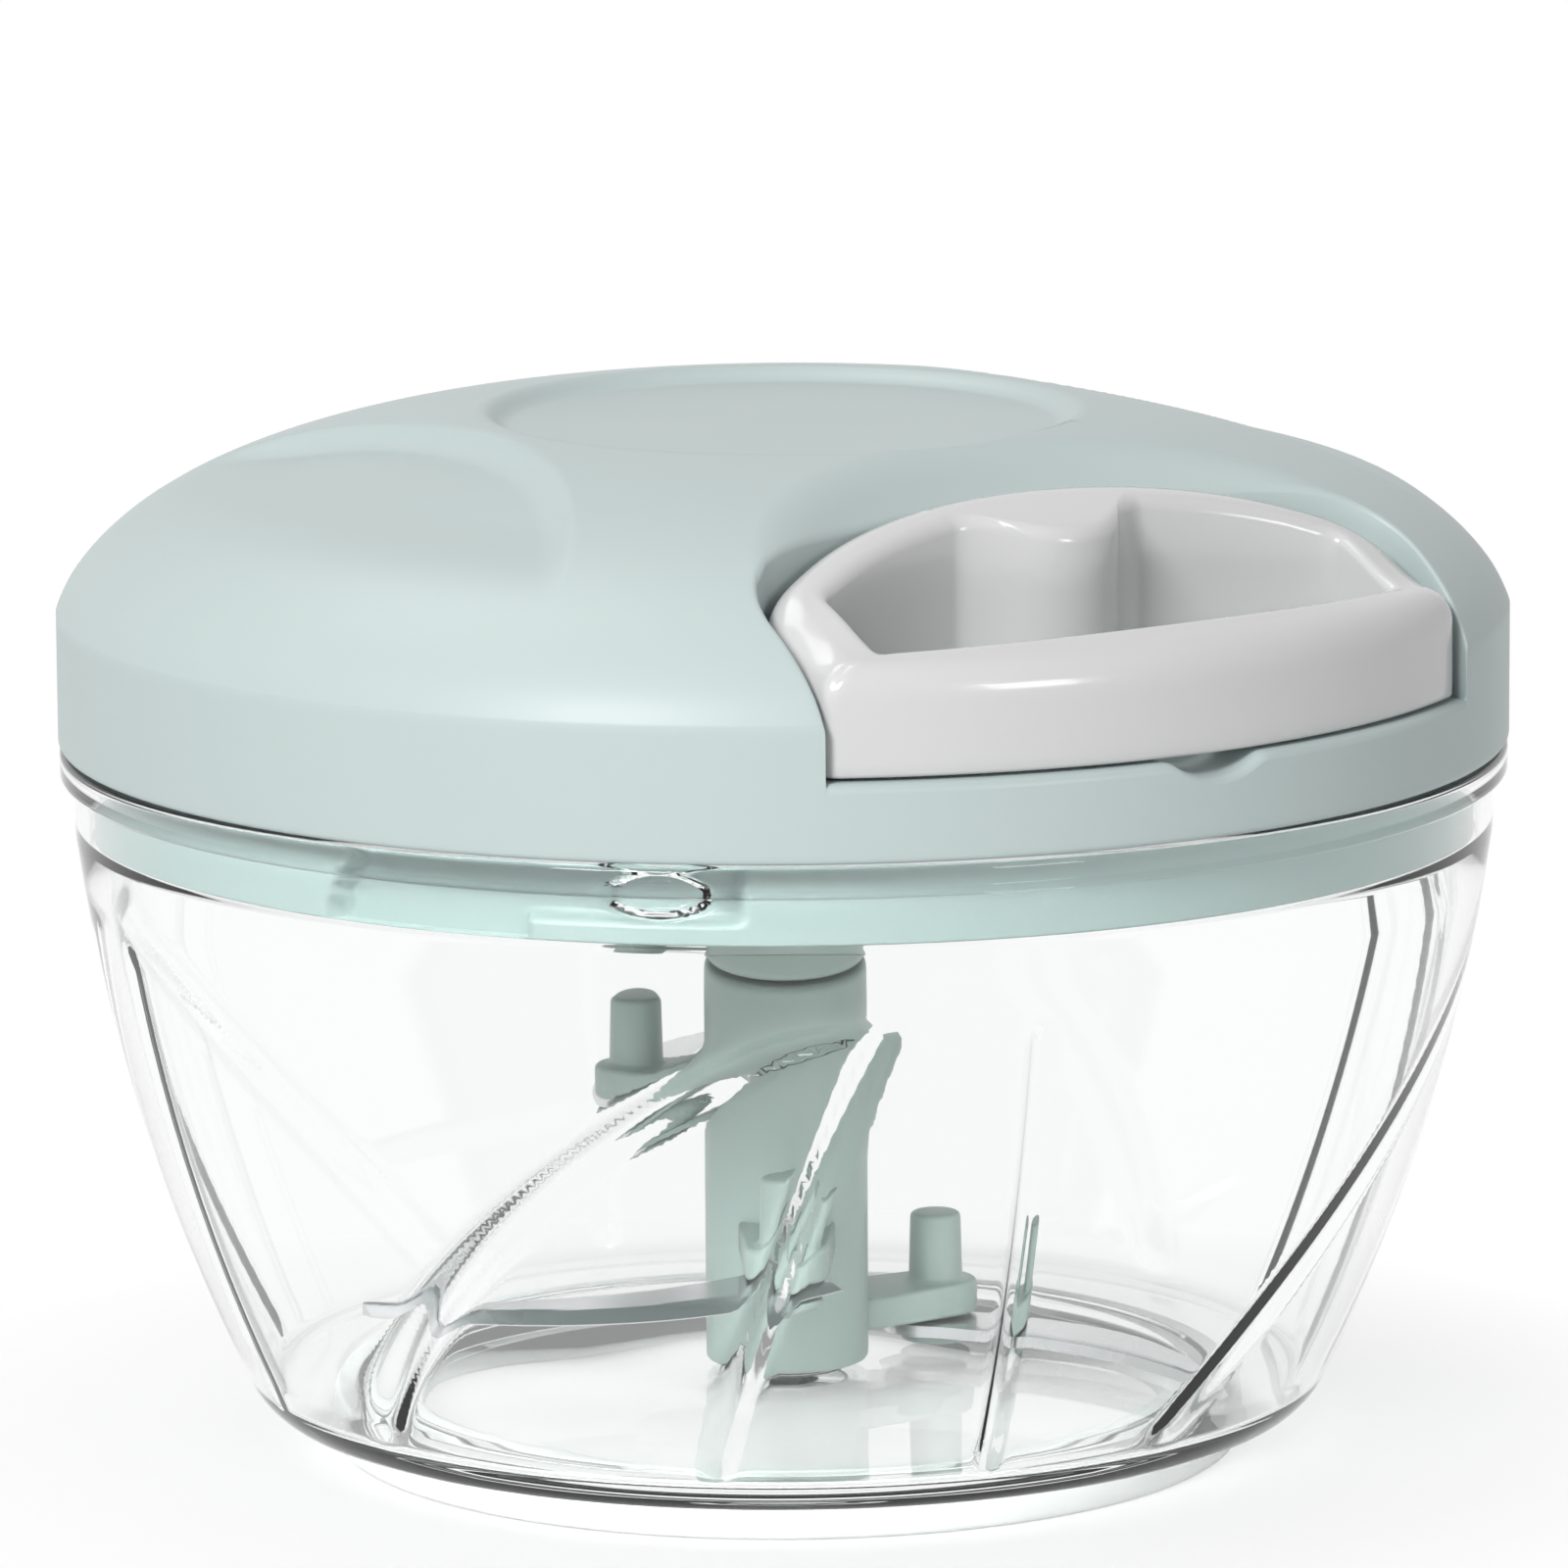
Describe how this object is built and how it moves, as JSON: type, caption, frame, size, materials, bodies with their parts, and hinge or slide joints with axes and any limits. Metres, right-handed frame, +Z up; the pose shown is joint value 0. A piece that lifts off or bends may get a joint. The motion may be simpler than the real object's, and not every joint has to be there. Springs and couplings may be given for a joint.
{
  "type": "vegetable chopper",
  "caption": "Hand-pulled vegetable chopper: clear bowl with swirl ribs, domed bayonet lid, half-moon pull handle on a cord, and a set of curved blades.",
  "frame": {"origin": "on the table, below the middle of the bowl", "axes": "+Z up along the blades' axis; the pull handle faces -Y and is pulled that way"},
  "size_m": [0.13, 0.13, 0.0939],
  "materials": {
    "mint_plastic": "satin, light grey-green",
    "holder_plastic": "semi-gloss, darker grey-green",
    "handle_plastic": "semi-gloss, light grey",
    "clear_plastic": "clear, polished",
    "silicone": "translucent, matte",
    "blade_steel": "ground, satin",
    "spring_steel": "blued strip",
    "screw_steel": "plated",
    "white_acetal": "moulded, satin",
    "cord": "braided"
  },
  "bodies": {
    "bowl": {"bowl": "clear_plastic", "non_slip_ring": "silicone"},
    "seal": {"seal_ring": "silicone"},
    "lid": {"lid_cover": "mint_plastic", "lid_base": "mint_plastic", "lid_screw_1": "screw_steel", "lid_screw_2": "screw_steel", "lid_screw_3": "screw_steel", "lid_screw_4": "screw_steel", "shaft_bush": "white_acetal", "shaft_seal": "silicone", "power_spring": "spring_steel", "spring_cover": "white_acetal", "spring_cover_screw_1": "screw_steel", "spring_cover_screw_2": "screw_steel", "spring_cover_screw_3": "screw_steel", "cord_guide": "white_acetal", "lid_cord": "cord", "pull_cord": "cord"},
    "handle": {"pull_handle": "handle_plastic", "cord_knot": "cord", "knot_plug": "handle_plastic"},
    "drum": {"cord_drum": "white_acetal", "wound_cord": "cord"},
    "pawl_1": {"pawl_1": "white_acetal"},
    "pawl_2": {"pawl_2": "white_acetal"},
    "drive": {"drive_shaft": "holder_plastic", "ratchet_wheel": "white_acetal", "clutch_cap": "white_acetal", "clutch_screw": "screw_steel"},
    "blades": {"blade_holder": "holder_plastic", "blade_lower": "blade_steel", "blade_middle": "blade_steel", "blade_upper": "blade_steel"}
  },
  "joints": [
    {"name": "lid_lift", "type": "slide", "parent": "bowl", "child": "seal", "axis": [0, 0, 1], "range_m": [0, 0.15]},
    {"name": "lid_twist", "type": "hinge", "parent": "seal", "child": "lid", "pos_m": [0, 0, 0.0646], "axis": [0, 0, 1], "range_deg": [0, 17.5]},
    {"name": "handle_pull", "type": "slide", "parent": "lid", "child": "handle", "axis": [0, -1, 0], "range_m": [0, 0.3], "stiffness_N_per_m": 20, "springref_m": -0.15, "deforming": ["pull_cord"]},
    {"name": "drum_spin", "type": "hinge", "parent": "lid", "child": "drum", "pos_m": [0, 0, 0.0795], "axis": [0, 0, 1], "range_deg": [0, 860]},
    {"name": "pawl_1_tilt", "type": "hinge", "parent": "drum", "child": "pawl_1", "pos_m": [0.0112, 0, 0.0814], "axis": [0, 0, -1], "range_deg": [0, 12]},
    {"name": "pawl_2_tilt", "type": "hinge", "parent": "drum", "child": "pawl_2", "pos_m": [-0.0112, 0, 0.0814], "axis": [0, 0, -1], "range_deg": [0, 12]},
    {"name": "drive_spin", "type": "hinge", "parent": "lid", "child": "drive", "pos_m": [0, 0, 0.0426], "axis": [0, 0, 1], "range_deg": [0, 860]},
    {"name": "blade_spin", "type": "hinge", "parent": "bowl", "child": "blades", "pos_m": [0, 0, 0.0072], "axis": [0, 0, 1], "range_deg": [0, 860]}
  ],
  "couplings": [
    {"joint": "drum_spin", "follows": "handle_pull", "rad_per_m": 50},
    {"joint": "drive_spin", "follows": "handle_pull", "rad_per_m": 50},
    {"joint": "blade_spin", "follows": "handle_pull", "rad_per_m": 50}
  ]
}
